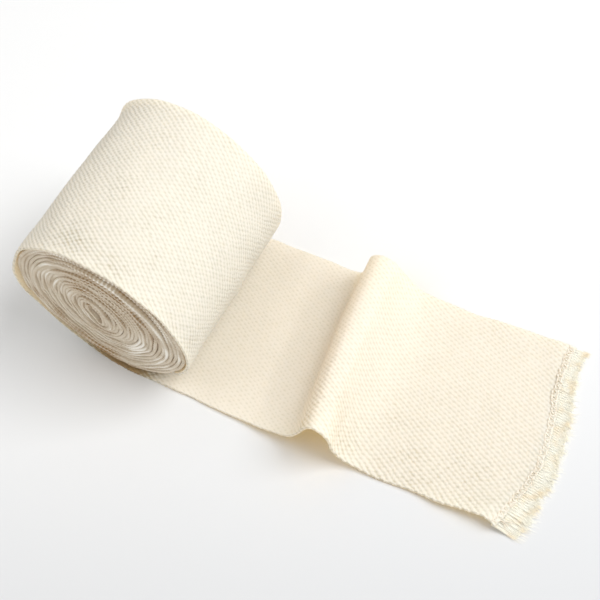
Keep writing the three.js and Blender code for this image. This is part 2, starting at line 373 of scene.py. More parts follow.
def grid_mesh(name, surface, weave_place):
    """A woven layer as a grid: columns along the strip, rows across it. surface and weave_place hold a
    point for each row and column; weave_place is how far through each set of ribs it is, and how open it
    is or, on the roll's faces, how much painted shade they have."""
    rows, columns = surface.shape[0] - 1, surface.shape[1] - 1
    bm = bmesh.new()
    bmesh.ops.create_grid(bm, x_segments=columns, y_segments=rows, size=1.0)
    mesh = bpy.data.meshes.new(name)
    bm.to_mesh(mesh)
    bm.free()
    place = np.empty(len(mesh.vertices) * 3, np.float32)
    mesh.vertices.foreach_get("co", place)
    place = place.reshape(-1, 3)
    column = np.rint((place[:, 0] + 1) / 2 * columns).astype(int)
    row = np.rint((place[:, 1] + 1) / 2 * rows).astype(int)
    points = to_row(surface[row, column])
    mesh.vertices.foreach_set("co", points.astype(np.float32).ravel())
    mark = mesh.attributes.new("weave_place", "FLOAT_VECTOR", "POINT")
    mark.data.foreach_set("vector", weave_place[row, column].astype(np.float32).ravel())
    mesh.update()
    return mesh


def grid_normals(surface):
    along = np.gradient(surface, axis=1)
    across = np.gradient(surface, axis=0)
    normals = np.cross(along, across)
    return normals / np.maximum(np.linalg.norm(normals, axis=2, keepdims=True), 1e-9)


def weave_in(surface, ribs, along, across, coarse, seeds):
    """Raises the crowns on a layer of cloth and the loops along its selvedges, coarse times their usual
    relief. Returns how far through each set of ribs each point is, and patches where the weave stands
    more open."""
    edge = np.minimum(across, STRIP_WIDTH - across)
    side = np.where(across < STRIP_WIDTH / 2, -1.0, 1.0)
    loops = LOOP_OUT * np.cos(2 * math.pi * along / LOOP_PITCH)
    surface[..., 1] += side * np.exp(-edge / LOOP_REACH) * loops
    normals = grid_normals(surface)
    wander = ripples(seeds[0:2], RIB_WANDER, along, across)
    wander = wander + ROW_WANDER * one_by_one(seeds[2], YARN_ROWS + 1, across / ROW_PITCH)
    phases = [rib[0] * (along + wander) + rib[1] * across for rib in ribs]
    steep, shallow = (np.cos(2 * math.pi * phase) for phase in phases)
    height = STEEP_RELIEF * steep + SHALLOW_RELIEF * shallow + CROSSED_RELIEF * steep * shallow
    height = height * RELIEF * coarse * (1 + ripples(seeds[3:5], RELIEF_CHANGES, along, across))
    surface += normals * height[..., None]
    surface[..., 2] = np.maximum(surface[..., 2], WALL / 2 + LEAST_CLEAR)
    return phases, ripples(seeds[5:7], OPEN_CHANGES, along, across)


def cloth_piece(name, surface, weave_place, material, inner_side):
    """A layer of cloth with its thickness: material is its outer or upper face, inner_side the other."""
    piece = finished_piece(name, grid_mesh(name, surface, weave_place), material)
    piece.data.materials.append(inner_side)
    wall = piece.modifiers.new("wall", "SOLIDIFY")
    wall.thickness = WALL * MM
    wall.offset = 0.0
    wall.material_offset = 1
    return piece


# ---- the loose end ----


def spline_through(knots, steps):
    """Centripetal curves through knots[curve, knot, axis], with so many steps from each to the next."""
    first = 2 * knots[:, :1] - knots[:, 1:2]
    last = 2 * knots[:, -1:] - knots[:, -2:-1]
    padded = np.concatenate([first, knots, last], axis=1)
    spacing = np.maximum(np.linalg.norm(np.diff(padded, axis=1), axis=2) ** 0.5, 1e-4)[..., None]
    p0, p1, p2, p3 = padded[:, :-3], padded[:, 1:-2], padded[:, 2:-1], padded[:, 3:]
    d0, d1, d2 = spacing[:, :-2], spacing[:, 1:-1], spacing[:, 2:]
    leave = ((p1 - p0) / d0 - (p2 - p0) / (d0 + d1) + (p2 - p1) / d1) * d1
    arrive = ((p2 - p1) / d1 - (p3 - p1) / (d1 + d2) + (p3 - p2) / d2) * d1
    t = (np.arange(steps) / steps)[None, None, :, None]
    p1, p2, leave, arrive = (v[:, :, None, :] for v in (p1, p2, leave, arrive))
    squared = -3 * p1 + 3 * p2 - 2 * leave - arrive
    cubed = 2 * p1 - 2 * p2 + leave + arrive
    body = (p1 + leave * t + squared * t**2 + cubed * t**3).reshape(len(knots), -1, 2)
    return np.concatenate([body, knots[:, -1:]], axis=1)


def loose_end_lines(across):
    """Fine lines along the loose end, one for each share of its width in across: points on the cloth's
    middle."""
    table = np.array(STRIP_LINES)
    near, far = table[:, :2], table[:, 2:]
    share = across[:, None, None]
    lines = spline_through(near[None] * (1 - share) + far[None] * share, LINE_STEPS)
    x, rise = lines[..., 0], lines[..., 1]
    share = across[:, None]
    middle = np.sin(math.pi * share)
    bowed = np.sin(math.pi * share**BOW_SKEW) ** BOW_SHARPNESS
    towards_end = rising(x, BOW_START, STRIP_LINES[-1][0] - BOW_START)
    tucked = NEAR_TUCK * (1 - share) - FAR_TUCK * share
    y = share * STRIP_WIDTH + tucked * fading(x, 0, TUCK_LENGTH)
    y = y + TURN_SLOPE * np.maximum(0, x - TURN_START)
    y = y - END_FLARE * (1 - share) ** FLARE_SHARPNESS * rising(x, *FLARE_STRETCH)
    from_selvedge = np.minimum(share, 1 - share) / LIFT_REACH
    lifted = np.where(x > LIFT_START, 1 - smooth(from_selvedge), 1.0)
    sag = CREST_SAG * middle * smooth(rise / CREST_HEIGHT)
    past_crest = x - (CREST_NEAR_X - CREST_SKEW * share)
    ramp = stretch(past_crest, *RAMP_STRETCH) * np.sqrt(np.maximum(middle, 0))
    z = np.maximum(0, rise * lifted - sag + RAMP_RISE * ramp)
    foot = stretch(past_crest, *FOOT_STRETCH) * fading(rise, 0, FOOT_HEIGHT)
    x = x + middle * (FOOT_SPREAD * foot - CREST_LEAN * rising(rise, *LEANING_PART))
    return np.stack([x + END_BOW * bowed * towards_end, y, z + CLOTH / 2 + STAND_OFF], axis=2)


def lengths_along(lines):
    """How far along its line each point is."""
    steps = np.linalg.norm(np.diff(lines, axis=1), axis=2)
    return np.concatenate([np.zeros((len(lines), 1)), np.cumsum(steps, axis=1)], axis=1)


def points_along(lines, lengths, places):
    """The points that lie places[line, column] millimetres along each line."""
    points = np.empty((*places.shape, 3))
    for line, length, place, row in zip(lines, lengths, places, points):
        for axis in range(3):
            row[:, axis] = np.interp(place, length, line[:, axis])
    return points


def frayed_from(across):
    """How far inside the cut the wefts stop, just past the overlocking."""
    stitched = np.interp(across, STITCHED_AT, STITCHED_INSIDE)
    return stitched - PAST_STITCHES + WEFT_RAGGED * ripple_across(18, across, 5)


def loose_end_surface(columns, rows):
    """The loose end's middle as a grid, where each point is along and across the strip, and its length.
    Its lines across slant as the wefts do, but for the first and last."""
    across = np.linspace(0, 1, rows + 1)
    lines = loose_end_lines(across)
    lengths = lengths_along(lines)
    length = float(lengths[rows // 2, -1])
    share = np.linspace(0, 1, columns + 1)[None, :]
    held_square = rising(np.minimum(share, 1 - share), 0, SQUARE_SHARE)
    slant = WEFT_SLOPE * (across[:, None] - 0.5) * STRIP_WIDTH / length
    shares = (share + slant * held_square) * (1 - frayed_from(across)[:, None] / length)
    surface = points_along(lines, lengths, shares * lengths[:, -1:])
    return surface, shares * length, np.broadcast_to(across[:, None] * STRIP_WIDTH, shares.shape), length


def make_loose_end(material, inner_side):
    surface, along, across, length = loose_end_surface(columns=280, rows=2 * YARN_ROWS)
    edge = np.minimum(across, STRIP_WIDTH - across)
    far_loss = FAR_LOSS * rising(across, 0, 0.9 * STRIP_WIDTH)
    coarse = FLAT_COARSE + (LOOSE_COARSE - far_loss) * rising(along, *PAST_FOLD)
    coarse = coarse + CREST_COARSE * hump(along, *CREST_PLACE) * fading(across, 0, NEAR_PART)
    free = FLAT_UNEVEN * rising(along, 0, FREE_LENGTH)
    surface[..., 2] += free * (1 + ripple(5, along, across * 0.8, 24)) * (0.35 + np.exp(-edge / 9))
    surface[..., 1] += free * ripple(6, along, across, 17) * np.exp(-edge / 6)
    seeds = (7, 10, 19, 16, 25, 8, 26)
    phases, patches = weave_in(surface, LOOSE_RIBS, along, across, coarse, seeds)
    crevice = CREVICE_PAINTED_SHADE * hump(along, *CREVICE_PLACE)  # painted shade under the roll, where the strip leaves it
    openness = 1.1 * (coarse - 1) + patches + crevice
    weave_place = np.stack([*phases, openness], axis=2)
    return cloth_piece("loose_end_cloth", surface, weave_place, material, inner_side), length


# ---- the roll ----


def at_section(values, y):
    return np.polyval(np.polyfit(SECTION_Y, values, 3), y)


def wound(turned, y, inward):
    """Where a point of the strip lies in the roll: turned is how many turns in from the touch-down, y its
    place along the axis, and inward its depth in millimetres inside that turn's outer face."""
    angle = 2 * math.pi * turned
    inner = np.clip((turned - 1) / (TURNS - 1), 0, 1)
    first = np.minimum(turned, 1)
    outer_width = at_section(HALF_WIDTHS, y) - LAYER_STEP
    outer_height = at_section(HALF_HEIGHTS, y) - LAYER_STEP
    half_width = outer_width + LAYER_STEP * (1 - first)
    half_width = half_width + (EYE_HALF_WIDTH - outer_width) * inner - inward
    half_height = outer_height + LAYER_STEP * (1 - first)
    half_height = half_height + (EYE_HALF_HEIGHT - outer_height) * inner - inward
    lean = at_section(LEANS, y) * (1 - np.cos(angle)) / 2
    centre_x = lean * (1 - inner) + EYE_X * inner
    centre_z = (at_section(HALF_HEIGHTS, y) - FLAT_DEPTH) * (1 - inner) + EYE_Z * inner
    sideways = -half_width * np.sin(angle)
    upward = -half_height * np.cos(angle)
    tilt = EYE_TILT * inner**1.5
    x = centre_x + sideways * np.cos(tilt) - upward * np.sin(tilt)
    z = centre_z + sideways * np.sin(tilt) + upward * np.cos(tilt)
    resting = LAYER_STEP * first + LEAST_STEP * np.maximum(turned - 1, 0) + inward
    return x, np.maximum(z, resting)


def near_edge_shift(turned):
    """How far inside the near rim the outermost turn's edge lies. It slid out on the side away from the
    loose end, most at the touch-down, and is tucked in where it comes round to the bottom again."""
    slid = (EDGE_SLID + EDGE_SLID_MORE * rising(turned, 0.18, 0.07)) * fading(turned, 0.285, 0.055)
    return EDGE_TUCKED * rising(turned, 0.87, 0.06) - slid - EDGE_SLID_AT_START * hump(turned, 0, 0.05)


def make_outer_turn(material, inner_side):
    columns, rows = 296, 2 * YARN_ROWS
    share = np.linspace(0, 1, rows + 1)[:, None]
    girth = 2 * math.pi * MEAN_RADIUS
    gap = START_GAP / girth
    turned = np.linspace(0, 1, columns + 1)[None, :] * (1 + gap) - gap
    turned = np.broadcast_to(turned, (rows + 1, columns + 1))
    across = np.broadcast_to(share * STRIP_WIDTH, turned.shape)
    along = turned * girth
    y = NEAR_RIM_Y + share * (FAR_RIM_Y - NEAR_RIM_Y) + near_edge_shift(turned) * (1 - share) ** 1.2
    y = y + 0.15 * ripple(11, along, across * 0, 16) * (1 - share) ** 4
    dent = hump(turned, *DENT_ROUND) * hump(y, *DENT_Y)
    flared = hump(turned, *FLARE_ROUND) + 0.45 * rising(turned, FLARE_ROUND[0], 0.05)
    flared = flared * fading(turned, 0.56, 0.1) * hump(y, FAR_RIM_Y, FLARE_WIDTH)
    inward = CLOTH / 2 + DENT * dent - FAR_FLARE * flared + 0.16 * ripple(12, along, across, 21)
    x, z = wound(turned, y, inward)
    surface = np.stack([x, y, z], axis=2)
    coarse = 1.10 - 0.10 * smooth(across / STRIP_WIDTH)
    seeds = (13, 15, 20, 17, 27, 14, 28)
    phases, patches = weave_in(surface, WOUND_RIBS, along, across, coarse, seeds)
    crevice = 2.0 * hump(turned, 0, 0.09)  # painted shade: brown underneath, by the touch-down
    openness = 0.5 * dent + 0.7 * (coarse - 1.15) + patches + crevice
    weave_place = np.stack([*phases, openness], axis=2)
    return cloth_piece("outer_turn", surface, weave_place, material, inner_side), girth


def winding(columns):
    """Where each column of the wound strip's grid is along the strip and round the roll, and how its turn
    lies there."""
    fine = np.linspace(1.0, TURNS, 20000)
    x, z = wound(fine, np.full_like(fine, MIDDLE_Y), CLOTH / 2)
    lengths = np.concatenate([[0.0], np.cumsum(np.hypot(np.diff(x), np.diff(z)))])
    along = np.linspace(0, lengths[-1], columns + 1)
    turned = np.interp(along, lengths, fine)
    round_it = turned % 1
    from_bottom = (turned + 0.5) % 1 - 0.5
    return SimpleNamespace(
        length=float(lengths[-1]),
        along=along,
        turned=turned,
        round_it=round_it,
        from_bottom=from_bottom,
        in_band=turned < BAND_TURNS,
        by_turn=one_by_one(29, int(TURNS) + 3, turned) * (turned > BAND_TURNS + 0.1),
        lying_back=stretch(round_it, *LYING_BACK),
        upper_right=stretch(round_it, *UPPER_RIGHT),
        slid=SLID_BY * stretch(round_it, *SLID_OUT) * np.clip(1.6 - turned / 12, 0, 1),
        pushed=PUSHED_OUT * hump(from_bottom, *PUSHED_AT) * fading(turned, *PUSHED_TURNS),
    )


def near_insets(at):
    """How far in from the near rim each turn's selvedge lies."""
    inset = np.interp(at.turned, *np.array(NEAR_INSETS).T)
    inset = np.where(at.in_band, BAND_INSET + (inset - BAND_INSET) * at.lying_back, inset)
    inset = inset - at.slid + TUCKED_UNDER * fading(at.turned, *TUCKED_TURNS) - at.pushed
    return inset + EACH_TURN_INSET * at.by_turn


def turn_section():
    """The columns of TURN_SECTION, each as a row for every point round a turn's section."""
    return (part[:, None] for part in np.array(TURN_SECTION).T)


def inner_surface(at, near_inset):
    """The inner turns as a grid: columns along the strip, rows round each turn's section. The selvedges'
    loops stand out most in the upper right, each turn has the room that the spiral leaves it, and it
    strays a little."""
    setback, outwards, far = turn_section()
    loops = np.abs(np.cos(math.pi * at.along / LOOP_PITCH)) * (0.35 + 0.65 * at.upper_right)
    ragged = 0.30 * loops - 0.22 * ripple(21, at.along, at.along * 0, 9)
    ragged = ragged - 0.18 * ripple(22, at.along, at.along * 0, 40)
    near_y = NEAR_RIM_Y + near_inset + ragged + setback
    far_y = FAR_RIM_Y - np.interp(at.turned, *np.array(FAR_INSETS).T) - ragged - setback
    y = near_y * (1 - far) + far_y * far
    here_x, here_z = wound(at.turned, MIDDLE_Y, CLOTH / 2)
    within_x, within_z = wound(at.turned + 1, MIDDLE_Y, CLOTH / 2)
    pitch = np.clip(np.hypot(here_x - within_x, here_z - within_z), THINNEST, THICKEST)
    angle = 2 * math.pi * at.turned
    loose = ripple(23, np.cos(angle) * 12, np.sin(angle) * 12 + at.turned * 2, 9)
    room = 0.01 + 0.05 * np.maximum(0, 0.3 + loose) + 0.10 * stretch(at.round_it, *OUTER_BAND) * at.in_band
    half_thickness = 0.5 * (pitch - room) * (1 - 0.16 * loops * np.exp(-setback))
    strayed = (0.06 + 0.16 * rising(at.turned, 1.5, 3)) * loose
    inward = pitch / 2 + strayed - half_thickness * outwards
    x, z = wound(np.broadcast_to(at.turned, y.shape), y, inward)
    return np.stack([x, y, z], axis=2)


def tone_and_painted_shade(at, near_inset, y):
    """How brown the turns are, over the same grid: painted shade and painted highlights, with some tone
    that differs at random.
    """
    setback, outwards, far = turn_section()
    here_x, here_z = wound(at.turned, MIDDLE_Y, CLOTH / 2)
    speckled = at.upper_right * stretch(at.turned, *SPECKLED_TURNS)
    # Painted shade on the band's turns, dotted from loop to loop.
    always, by_loop = BAND_BEAD_PAINTED_SHADE
    bead_painted_shade = always + by_loop * np.cos(2 * math.pi * at.along / LOOP_PITCH)
    # Painted highlights along a turn's very edge and where a turn stands proud.
    edge = CREST_PAINTED_HIGHLIGHT * (1 + 0.7 * ripple(30, at.along, 0 * at.along, 25))
    proud = rising(-near_inset - at.slid - at.pushed, 0, 0.2) * (outwards > 0.5) * (setback < 0.3)
    depth = np.where(far > 0.5, FAR_RIM_Y - y, y - NEAR_RIM_Y + at.pushed)
    tone = sum((
        PLAIN_TONE + SPECKLED_PAINTED_SHADE * speckled + EACH_TURN_TONE * at.by_turn,
        EYE_PAINTED_SHADE * rising(at.turned, *EYE_TURNS),
        LOWER_LEFT_PAINTED_SHADE * stretch(at.round_it, *LOWER_LEFT) * fading(at.turned, *LOWER_LEFT_TURNS),
        LOWER_RIGHT_PAINTED_LIGHT * stretch(at.round_it, *LOWER_RIGHT),
        BELOW_EYE_TONE * hump(at.from_bottom, *BELOW_EYE) * rising(at.turned, *BELOW_EYE_TURNS),
        UNDERSIDE_PAINTED_SHADE * hump(at.from_bottom, *UNDERSIDE) * fading(at.turned, *UNDERSIDE_TURNS),
        PATCHY_TONE * ripple(47, here_x, here_z, 15),
        ALONG_TONE * ripple(24, at.along, 0 * at.along, 30),
        bead_painted_shade * at.lying_back * at.in_band,
        np.where((outwards == 0) & (setback == 0), edge, OFF_CREST_PAINTED_SHADE),
        PROUD_PAINTED_HIGHLIGHT * proud,
    ))
    # Painted shade, deeper into the gaps between turns.
    between = np.where(outwards > 0.9, rising(depth, 0.15, 0.8), rising(depth, 0.5, 1.0))
    shade = np.where(at.in_band, BAND_SHADE, INNER_SHADE + SPECKLED_SHADE * speckled)
    return np.minimum(tone + shade * between, 1.0)


def make_inner_turns(material):
    """The rest of the strip: a spiral from under the outer turn in to the eye, closed to a thin tube. Its
    selvedges lie unevenly, with painted brown shade between them and painted highlights on their edges."""
    at = winding(columns=7800)
    near_inset = near_insets(at)
    surface = inner_surface(at, near_inset)
    y = surface[..., 1]
    phases = [rib[0] * at.along + rib[1] * y for rib in WOUND_RIBS]
    weave_place = np.stack([*phases, tone_and_painted_shade(at, near_inset, y)], axis=2)
    mesh = grid_mesh("inner_turns", surface, weave_place)
    bm = bmesh.new()
    bm.from_mesh(mesh)
    bmesh.ops.remove_doubles(bm, verts=bm.verts, dist=0.002 * MM)
    bmesh.ops.holes_fill(bm, edges=[e for e in bm.edges if e.is_boundary], sides=0)
    bmesh.ops.recalc_face_normals(bm, faces=bm.faces)
    bm.to_mesh(mesh)
    bm.free()
    return finished_piece("inner_turns", mesh, material), at.length


# ---- the frayed cut ----


def strand_piece(name, strands, material):
    """Threads as one six-sided mesh. Each strand is its points in millimetres, and its radius at each."""
    curve = bpy.data.curves.new(name, "CURVE")
    curve.dimensions = "3D"
    curve.bevel_depth = 1.0
    curve.bevel_resolution = 1
    curve.use_fill_caps = True
    for points, radii in strands:
        spline = curve.splines.new("POLY")
        spline.points.add(len(points) - 1)
        for knot, where, radius in zip(spline.points, to_row(points), radii):
            knot.co = (*where, 1.0)
            knot.radius = radius * MM
    holder = bpy.data.objects.new(name + "_curve", curve)
    bpy.context.scene.collection.objects.link(holder)
    mesh = bpy.data.meshes.new_from_object(holder.evaluated_get(bpy.context.evaluated_depsgraph_get()))
    bpy.data.objects.remove(holder)
    bpy.data.curves.remove(curve)
    mesh.name = name
    return finished_piece(name, mesh, material)


def inside_cut(across, before_end):
    """Points on the middle of the cloth, before_end millimetres inside the cut."""
    lines = loose_end_lines(across)
    lengths = lengths_along(lines)
    return points_along(lines, lengths, (lengths[:, -1] - before_end)[:, None])[:, 0]


def make_fringe(material):
    """Past the last weft each warp yarn runs on alone: its two plies still twisted together, over two
    slack ones that lie flat and straight under them, with fibres standing out of it towards the tip."""
    draw = np.random.default_rng(31)
    strands = []
    shares = (np.arange(YARN_ROWS) + 0.5) / YARN_ROWS
    leaning = 0.05 * ripple_across(32, shares, 16)
    clumped = 1 + 0.12 * ripple_across(33, shares, 4)
    bare = frayed_from(shares)
    reaches = bare + np.interp(shares, FRAYED_AT, FRAYED_REACH) * clumped
    roots = inside_cut(shares, bare)
    slack_t = np.linspace(0, 1, 6)
    ply_t = np.linspace(0, 1, 12)
    wisp_t = np.linspace(0, 1, 4)
    for share, lean, root, reach in zip(shares, leaning, roots, reaches):
        turn = lean + draw.normal(0, 0.03)
        curl = draw.normal(0, 0.35)
        start = draw.uniform(0, 2 * math.pi)
        for beside in (-SLACK_BESIDE, SLACK_BESIDE):
            run = slack_t * reach * draw.uniform(0.80, 0.97)
            x = root[0] - RUN_BACK * (1 - slack_t) + run * math.cos(lean)
            y = root[1] + run * math.sin(lean) + beside
            z = root[2] - 0.08 + (0.34 - root[2]) * smooth(slack_t * 1.1)
            strands.append((np.stack([x, y, z], axis=1), SLACK_RADIUS * (1 - 0.4 * slack_t**6)))
        for ply in (0, math.pi):
            run = ply_t * reach * draw.uniform(0.80, 1.03)
            apart = 0.20 + 0.16 * ply_t**2
            twist = start + ply + 2 * math.pi * run / PLY_TWIST
            x = root[0] - RUN_BACK * (1 - ply_t) + run * math.cos(turn)
            y = root[1] + run * math.sin(turn) + curl * ply_t**3 + apart * np.cos(twist)
            z = root[2] + 0.16 + (0.25 - root[2]) * smooth(ply_t * 1.1) + 0.25 * apart * np.sin(twist)
            points = np.stack([x, y, np.maximum(z, 0.3)], axis=1)
            strands.append((points, PLY_RADIUS * (1 - 0.6 * rising(ply_t, 0.55, 0.45))))
        for _ in range(WISPS):
            run = reach * (draw.uniform(0.35, 0.85) + draw.uniform(0.25, 0.50) * wisp_t)
            away = max(lean + draw.normal(0, 0.22), -0.1 - 8 * share)
            bend = max(draw.normal(0, 0.5), -4 * share)
            x = root[0] + run * math.cos(away)
            y = root[1] + run * math.sin(away) + bend * wisp_t**2 + draw.uniform(-0.4, 0.4)
            z = np.maximum(0.55 + draw.uniform(-0.2, 0.8) * wisp_t, 0.15)
            strands.append((np.stack([x, y, z], axis=1), WISP_RADIUS * (1 - 0.5 * wisp_t)))
    return strand_piece("frayed_warp", strands, material)


def make_overlock(material):
    """Overlock stitching inside the cut: two rows of needle thread, a looper thread from one to the
    other, and thread ends at the near corner."""
    draw = np.random.default_rng(41)
    strands = []
    count = int(STRIP_WIDTH / STITCH_PITCH)
    on_cloth = WALL / 2 + RELIEF * 0.5
    across = np.linspace(0.008, 0.992, count * STITCH_STEPS + 1)
    inside = np.interp(across, STITCHED_AT, STITCHED_INSIDE) + 0.35 * ripple_across(42, across, 6)
    step = across * count * 2 * math.pi
    for side, phase, radius in zip((-STITCH_HALF_WIDTH, STITCH_HALF_WIDTH), (0.0, 1.4), NEEDLE_RADII):
        strayed = 0.10 * np.sin(step + phase) + 0.18 * ripple_across(46, across, 3, phase)
        points = inside_cut(across, inside + side + strayed)
        points[:, 2] += on_cloth + 0.04 + 0.12 * np.cos(step + phase)
        lumpy = 1 + 0.35 * np.cos(step + phase) + 0.25 * ripple_across(44, across, 3, phase)
        strands.append((points, radius * lumpy))
    points = inside_cut(across, inside + STITCH_HALF_WIDTH * np.sin(step))
    points[:, 2] += on_cloth + 0.20 + 0.08 * np.cos(2 * step)
    strands.append((points, LOOPER_RADIUS * (1 + 0.3 * ripple_across(45, across, 4))))
    corner = inside_cut(np.array([0.02]), np.zeros(1))[0]
    t = np.linspace(0, 1, 14)
    for _ in range(THREAD_ENDS):
        length = draw.uniform(*THREAD_END_LENGTHS)
        turn = draw.uniform(-0.1, 0.8)
        bend = draw.uniform(-0.3, 0.8)
        run = t * length
        x = corner[0] - RUN_BACK + run * math.cos(turn) - 0.5 * bend * run * t
        y = corner[1] + 0.6 + run * math.sin(turn) * 0.5 + bend * np.sin(t * 5) * 0.9
        z = np.maximum(corner[2] + 1.0 + draw.uniform(0, 0.7) * np.sin(t * math.pi) - 0.9 * t, 0.22)
        points = np.stack([x, np.maximum(y, corner[1] - 0.6), z], axis=1)
        strands.append((points, np.full(len(t), THREAD_END_RADIUS)))
    return strand_piece("overlock_stitches", strands, material)


# ---- finishes ----


def add_node(tree, kind, feeds=None, **settings):
    """Adds a node and gives back its outputs. feeds holds, by a socket's name or number, its value or the
    output that feeds it; settings are the node's own properties."""
    node = tree.nodes.new(kind)
    for key, value in settings.items():
        setattr(node, key, value)
    for socket, value in (feeds or {}).items():
        if isinstance(value, bpy.types.NodeSocket):
            tree.links.new(value, node.inputs[socket])
        else:
            node.inputs[socket].default_value = value
    return node.outputs


def add_each(tree, kind, rows, **settings):
    """Adds a node for each row of what feeds its sockets, and gives back their first outputs."""
    return [add_node(tree, kind, dict(enumerate(row)), **settings)[0] for row in rows]


def new_material(name):
    material = bpy.data.materials.new(name)
    material.use_nodes = True
    material.node_tree.nodes.clear()
    return material, material.node_tree


def on_the_weave(tree):
    """The place on the weave that patterns follow, its two sets of ribs as waves, and how open it is or, on
    the roll's faces, how much painted shade they have."""
    place = add_node(tree, "ShaderNodeAttribute", attribute_name="weave_place")["Vector"]
    steep, shallow, openness = add_node(tree, "ShaderNodeSeparateXYZ", {0: place})
    waves = []
    for phase in (steep, shallow):
        angle = add_node(tree, "ShaderNodeMath", {0: phase, 1: 2 * math.pi}, operation="MULTIPLY")[0]
        waves.append(add_node(tree, "ShaderNodeMath", {0: angle, 1: 0.0}, operation="COSINE")[0])
    return place, *waves, openness


def cotton(tree, first, tints, relief, bump, roughness, sheen, let_through=0.0, glow=None):
    """What all the cotton shares: tints laid over its first colour, each by its own share, fibres that
    stand up by the relief, a soft sheen, and a part of the light let through, in the colour glow or in
    its own."""
    colour = linear_colour(first)
    for share, tint in tints:
        feeds = {0: share, 6: colour, 7: linear_colour(tint)}
        colour = add_node(tree, "ShaderNodeMix", feeds, data_type="RGBA")[2]
    strength, depth = bump
    feeds = {"Height": relief, "Strength": strength, "Distance": depth * MM}
    normal = add_node(tree, "ShaderNodeBump", feeds)[0]
    look = {"Base Color": colour, "Normal": normal, "Roughness": roughness}
    look["Sheen Weight"], look["Sheen Roughness"] = sheen
    surface = add_node(tree, "ShaderNodeBsdfPrincipled", look)[0]
    if let_through:
        behind = colour if glow is None else linear_colour(glow)
        through = add_node(tree, "ShaderNodeBsdfTranslucent", {"Color": behind})[0]
        surface = add_node(tree, "ShaderNodeMixShader", {0: let_through, 1: surface, 2: through})[0]
    add_node(tree, "ShaderNodeOutputMaterial", {"Surface": surface})


def cotton_crepe(name, dull, pale, hollow_shade_depth, glow, let_through):
    """Unbleached cotton crepe, plain woven from hard-twisted yarn: a matt cream, with painted shade in the
    small dull hollows where four yarns meet, browner where the weave stands open, deeper brown painted
    shade in the crevice under the roll, slubs that are slightly paler or darker, and a share of light that
    comes through it warm."""
    material, tree = new_material(name)
    place, steep, shallow, openness = on_the_weave(tree)
    # The pattern's unit is one rib's width: slubs are 2.3 mm across and the fibres' fuzz 0.36 mm.
    slub, fibre = (
        add_node(tree, "ShaderNodeTexNoise", {"Vector": place, "Scale": scale, "Detail": detail})["Fac"]
        for scale, detail in ((RIB_WIDTH / 2.344, 3.0), (RIB_WIDTH / 0.3646, 4.0))
    )
    height = add_node(tree, "ShaderNodeMath", {0: shallow, 1: 0.39}, operation="MULTIPLY")[0]
    height = add_node(tree, "ShaderNodeMath", {0: steep, 1: 0.61, 2: height}, operation="MULTIPLY_ADD")[0]
    level = height
    for part, share in ((openness, -0.5), (slub, 0.5), (fibre, 0.7)):
        level = add_node(tree, "ShaderNodeMath", {0: part, 1: share, 2: level}, operation="MULTIPLY_ADD")[0]
    # Each row: a value, the limits between which it counts, and what comes out at each of them.
    limits = (
        (level, 1.0, -0.25, 0.0, 1.0),
        (fibre, 0.60, 0.80, 0.0, 0.25),
        (openness, 0.0, 1.0, 0.0, 0.8),
        (openness, 0.6, 2.0, 0.0, 0.85),
        (openness, -0.9, 0.4, 0.15, 1.2),
    )
    shares = add_each(tree, "ShaderNodeMapRange", limits, interpolation_type="SMOOTHSTEP")
    hollow, speckles, stands_open, crevice, crispness = shares
    products = ((hollow, hollow_shade_depth), (hollow, stands_open), (height, crispness))
    hollows, open_weave_shade, crisp = add_each(tree, "ShaderNodeMath", products, operation="MULTIPLY")
    relief = add_node(tree, "ShaderNodeMath", {0: fibre, 1: 0.9, 2: crisp}, operation="MULTIPLY_ADD")[0]
    # Painted shade: the hollows, more where the weave stands open, and the crevice under the roll; speckles
    # and slubs are the yarn's own.
    tints = (
        (slub, pale),
        (speckles, 0xEBDDC0),
        (hollows, 0xB8BCA2),
        (open_weave_shade, 0xA49A78),
        (crevice, 0xAE8E5E),
    )
    cotton(tree, dull, tints, relief, (0.7, 0.17), 0.92, (0.08, 0.6), let_through, glow)
    return material


def selvedge_crepe(name):
    """The same cotton crepe seen edge on, on a darker base, partly the weave edge on and partly painted
    shade:
    pale weft loops along each selvedge, a painted highlight where a turn stands proud, and painted brown
    shade between the turns."""
    material, tree = new_material(name)
    place, steep, shallow, tone = on_the_weave(tree)
    # Edge on, the fuzz is coarser, 0.5 mm, and patches of turns 5.5 mm across differ.
    slub, fibre = (
        add_node(tree, "ShaderNodeTexNoise", {"Vector": place, "Scale": scale, "Detail": detail})["Fac"]
        for scale, detail in ((RIB_WIDTH / 5.469, 2.0), (RIB_WIDTH / 0.51273, 4.0))
    )
    loops = add_node(tree, "ShaderNodeMath", {0: steep, 1: shallow, 2: fibre}, operation="MULTIPLY_ADD")[0]
    limits = (
        (fibre, 0.46, 0.66, 0.0, 0.6),
        (tone, 0.0, -0.5, 0.0, 1.0),
        (tone, 0.0, 1.0, 0.0, 1.0),
        (loops, 1.0, 0.0, 0.3, 1.0),
    )
    shares = add_each(tree, "ShaderNodeMapRange", limits, interpolation_type="SMOOTHSTEP")
    # Below 0 the tone is a painted highlight, above 0 painted shade, which lies between the weft loops.
    fuzzy, painted_highlight, painted_shade_share, between_loops = shares
    brown = add_node(tree, "ShaderNodeMath", {0: painted_shade_share, 1: between_loops}, operation="MULTIPLY")[0]
    tints = ((slub, 0xE3D8C6), (fuzzy, 0xC6B292), (painted_highlight, 0xFDF8EE), (brown, 0xA27D4C))
    # A darker base than the cloth's face: partly the weave seen edge on, partly painted shade.
    cotton(tree, 0xD8CBB6, tints, fibre, (0.4, 0.2), 0.95, (0.08, 0.6))
    return material


